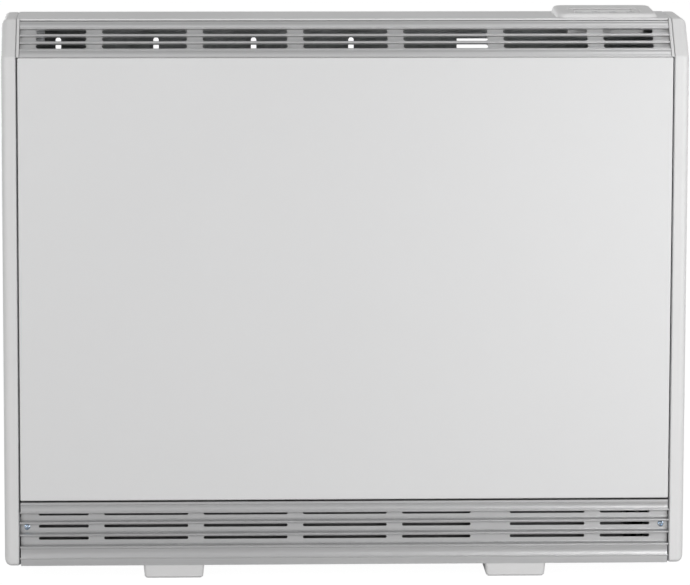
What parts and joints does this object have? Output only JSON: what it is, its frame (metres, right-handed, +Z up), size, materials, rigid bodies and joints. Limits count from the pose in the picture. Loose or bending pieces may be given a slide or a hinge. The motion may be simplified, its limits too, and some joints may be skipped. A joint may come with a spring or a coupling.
{
  "type": "storage heater",
  "caption": "Slim storage heater with moulded end caps, sloping slotted air outlet, flat front panel, slotted air inlet, brick core, damper, top controls and feet.",
  "frame": {"origin": "on the floor, midway between the ends and midway between the front face and the wall face of the brackets", "axes": "+X along the heater to the right-hand end, which has the controls; the front panel faces -Y; +Z up"},
  "size_m": [0.862, 0.17, 0.7168],
  "materials": {
    "white_moulding": "satin moulded plastic",
    "white_enamel": "fine satin powder coat",
    "galvanised_sheet": "zinc coated sheet, dull",
    "grille_aluminium": "satin anodised extrusion",
    "zinc_plate": "bright zinc plate",
    "mineral_board": "matt fibrous board",
    "storage_brick": "rough fired brick",
    "element_sheath": "dull tube",
    "dark_moulding": "matt moulded plastic",
    "gland_rubber": "matt rubber",
    "display_window": "clear dark window",
    "display_face": "display cell",
    "circuit_board": "solder mask",
    "button_moulding": "satin moulded plastic",
    "terminal_moulding": "moulded insulator",
    "reset_red": "glossy moulded plastic",
    "wire_sleeve": "woven glass sleeve"
  },
  "bodies": {
    "case": {"left_end_cap": "white_moulding", "right_end_cap": "white_moulding", "left_foot": "white_moulding", "right_foot": "white_moulding", "left_cheek": "white_moulding", "right_cheek": "white_moulding", "control_bezel": "white_moulding", "front_panel": "white_enamel", "top_panel": "white_enamel", "left_side_plate": "galvanised_sheet", "right_side_plate": "galvanised_sheet", "back_panel": "galvanised_sheet", "base_plate": "galvanised_sheet", "inner_front_panel": "galvanised_sheet", "inlet_grille_tabs": "galvanised_sheet", "core_tray": "galvanised_sheet", "core_cover": "galvanised_sheet", "damper_bearings": "galvanised_sheet", "actuator_bracket": "galvanised_sheet", "left_wall_bracket": "galvanised_sheet", "right_wall_bracket": "galvanised_sheet", "outlet_grille": "grille_aluminium", "inlet_grille": "grille_aluminium", "foot_screws": "zinc_plate", "inlet_grille_screws": "zinc_plate", "casing_screws": "zinc_plate", "core_sensor": "zinc_plate", "base_insulation": "mineral_board", "rear_insulation": "mineral_board", "front_insulation": "mineral_board", "left_insulation": "mineral_board", "right_insulation": "mineral_board", "top_insulation": "mineral_board", "brick_row_1": "storage_brick", "brick_row_2": "storage_brick", "brick_row_3": "storage_brick", "heating_element_1": "element_sheath", "heating_element_2": "element_sheath", "heating_element_3": "element_sheath", "damper_actuator": "dark_moulding", "control_housing": "white_moulding", "button_switches": "dark_moulding", "cable_clamp": "dark_moulding", "room_sensor": "dark_moulding", "cutout_body": "dark_moulding", "cable_gland": "gland_rubber", "display_lens": "display_window", "display_module": "display_face", "control_board": "circuit_board", "terminal_block": "terminal_moulding", "wiring": "wire_sleeve"},
    "damper": {"damper_flap": "galvanised_sheet", "damper_spindle": "zinc_plate", "damper_lever": "zinc_plate"},
    "plunger": {"actuator_plunger": "zinc_plate"},
    "press_1": {"button_1": "button_moulding"},
    "press_2": {"button_2": "button_moulding"},
    "press_3": {"button_3": "button_moulding"},
    "press_4": {"button_4": "button_moulding"},
    "reset": {"cutout_reset_button": "reset_red"}
  },
  "joints": [
    {"name": "damper_swing", "type": "hinge", "parent": "case", "child": "damper", "pos_m": [0, -0.048, 0.656], "axis": [-1, 0, 0], "range_deg": [0, 40]},
    {"name": "plunger_slide", "type": "slide", "parent": "case", "child": "plunger", "axis": [0, -1, 0], "range_m": [0, 0.007]},
    {"name": "reset_press", "type": "slide", "parent": "case", "child": "reset", "axis": [0, 1, 0], "range_m": [0, 0.0015], "stiffness_N_per_m": 1200, "springref_m": -0.0005},
    {"name": "button_1_press", "type": "slide", "parent": "case", "child": "press_1", "axis": [0, 0, -1], "range_m": [0, 0.0008], "stiffness_N_per_m": 1200, "springref_m": -0.0004},
    {"name": "button_2_press", "type": "slide", "parent": "case", "child": "press_2", "axis": [0, 0, -1], "range_m": [0, 0.0008], "stiffness_N_per_m": 1200, "springref_m": -0.0004},
    {"name": "button_3_press", "type": "slide", "parent": "case", "child": "press_3", "axis": [0, 0, -1], "range_m": [0, 0.0008], "stiffness_N_per_m": 1200, "springref_m": -0.0004},
    {"name": "button_4_press", "type": "slide", "parent": "case", "child": "press_4", "axis": [0, 0, -1], "range_m": [0, 0.0008], "stiffness_N_per_m": 1200, "springref_m": -0.0004}
  ],
  "couplings": [
    {"joint": "plunger_slide", "follows": "damper_swing", "m_per_rad": 0.0098}
  ]
}
